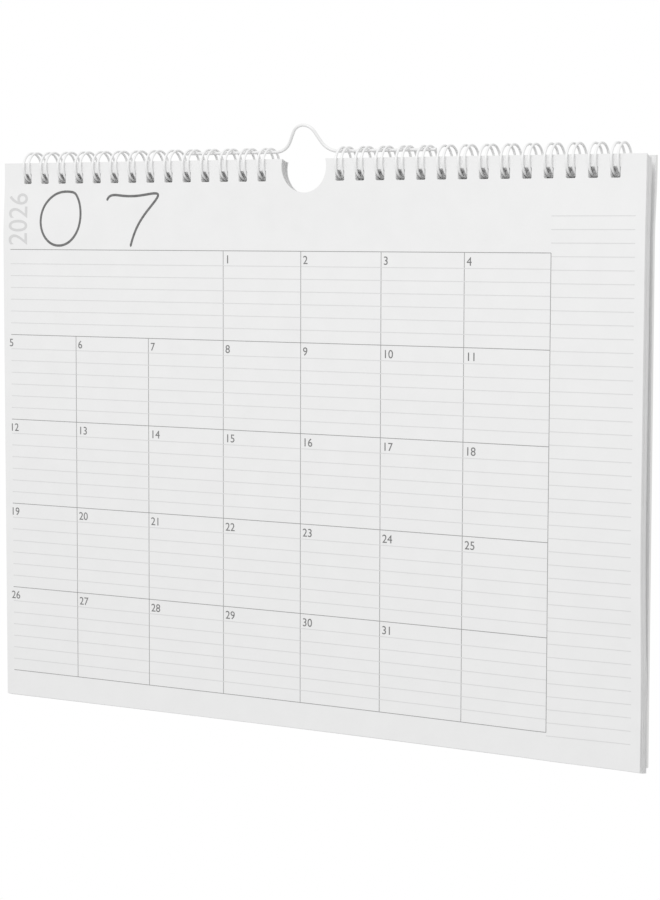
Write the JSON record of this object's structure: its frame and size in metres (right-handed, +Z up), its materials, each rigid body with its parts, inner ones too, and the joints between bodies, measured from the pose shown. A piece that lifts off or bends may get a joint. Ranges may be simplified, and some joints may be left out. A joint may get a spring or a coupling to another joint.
{
  "type": "wall calendar",
  "caption": "Landscape wall calendar: a block of leaves and a card back bound at the top with twin-loop wire, hung from a bent wire hanger.",
  "frame": {"origin": "nail seat: the underside of the hanger's crest, in the middle of the calendar's width", "axes": "+X to the right as the calendar is read, +Y into the wall, +Z up; the printed face looks along -Y"},
  "size_m": [0.2794, 0.0126, 0.2302],
  "materials": {
    "leaf_paper": "matte",
    "board_card": "matte",
    "binding_wire": "satin",
    "hanger_wire": "satin"
  },
  "bodies": {
    "hanger": {"hanger": "hanger_wire"},
    "binding": {"left_binding_wire": "binding_wire", "right_binding_wire": "binding_wire"},
    "pages": {"page_block": "leaf_paper"},
    "board": {"back_board": "board_card"}
  },
  "joints": [
    {"name": "hanger_swing", "type": "hinge", "parent": "hanger", "child": "binding", "pos_m": [0, 0.00298, -0.00915], "axis": [-1, 0, 0], "range_deg": [-45, 45]},
    {"name": "page_lift", "type": "hinge", "parent": "binding", "child": "pages", "pos_m": [0, 0.00298, -0.0137], "axis": [-1, 0, 0], "range_deg": [0, 40]},
    {"name": "board_swing", "type": "hinge", "parent": "binding", "child": "board", "pos_m": [0, 0.00298, -0.0137], "axis": [1, 0, 0], "range_deg": [0, 40]}
  ]
}
